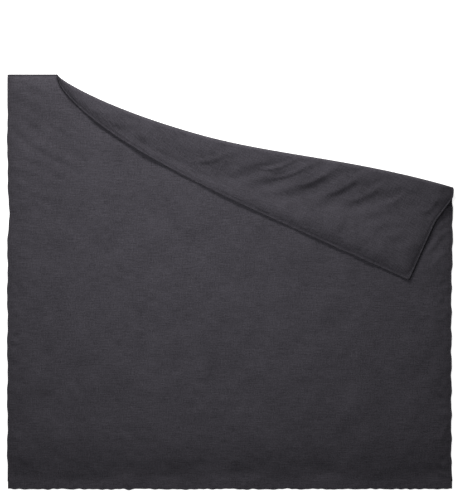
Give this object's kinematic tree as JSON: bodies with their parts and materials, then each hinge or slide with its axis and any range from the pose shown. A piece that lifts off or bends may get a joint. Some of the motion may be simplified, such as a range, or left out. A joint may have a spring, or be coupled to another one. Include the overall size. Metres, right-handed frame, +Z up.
{
  "type": "duvet",
  "caption": "Double duvet in a linen cover, lying flat with its head right corner turned back; the corner opens out flat and the foot opening's lip lifts.",
  "frame": {"origin": "on the floor under the middle of the duvet", "axes": "+X across the duvet's width, +Y to the head end, +Z up"},
  "size_m": [2.36, 2.2, 0.0726],
  "materials": {
    "linen": "slubbed plain weave linen, dark charcoal",
    "seam_linen": "folded linen seam with topstitching",
    "cambric": "fine plain cotton",
    "wadding": "loose fibre filling",
    "thread": "stitched quilting lines",
    "snap_metal": "dark press studs"
  },
  "bodies": {
    "duvet": {"cover_top_main": "linen", "cover_back_main": "linen", "side_seam_left": "seam_linen", "side_seam_right": "seam_linen", "head_seam_left": "seam_linen", "foot_hem_back": "seam_linen", "opening_tack_left": "seam_linen", "opening_tack_right": "seam_linen", "snap_studs": "snap_metal", "insert_shell_top_main": "cambric", "insert_shell_back_main": "cambric", "insert_fill_main": "wadding", "insert_quilting_main": "thread", "insert_binding_left": "cambric", "insert_binding_right": "cambric", "insert_binding_foot": "cambric", "insert_binding_head": "cambric"},
    "turned_corner": {"cover_top_corner": "linen", "cover_back_corner": "linen", "head_seam_corner": "seam_linen", "side_seam_corner": "seam_linen", "insert_shell_top_corner": "cambric", "insert_shell_back_corner": "cambric", "insert_fill_corner": "wadding", "insert_quilting_corner": "thread", "insert_binding_head_corner": "cambric", "insert_binding_side_corner": "cambric"},
    "foot_lip": {"foot_hem_top": "seam_linen", "snap_sockets": "snap_metal"}
  },
  "joints": [
    {"name": "corner_fold", "type": "hinge", "parent": "duvet", "child": "turned_corner", "pos_m": [-0.915, 1.1, 0.0363], "axis": [-0.965, 0.2622, 0], "range_deg": [0, 180]},
    {"name": "foot_lip_lift", "type": "hinge", "parent": "duvet", "child": "foot_lip", "pos_m": [0, -1.06, 0.0034], "axis": [-1, 0, 0], "range_deg": [0, 70]}
  ]
}
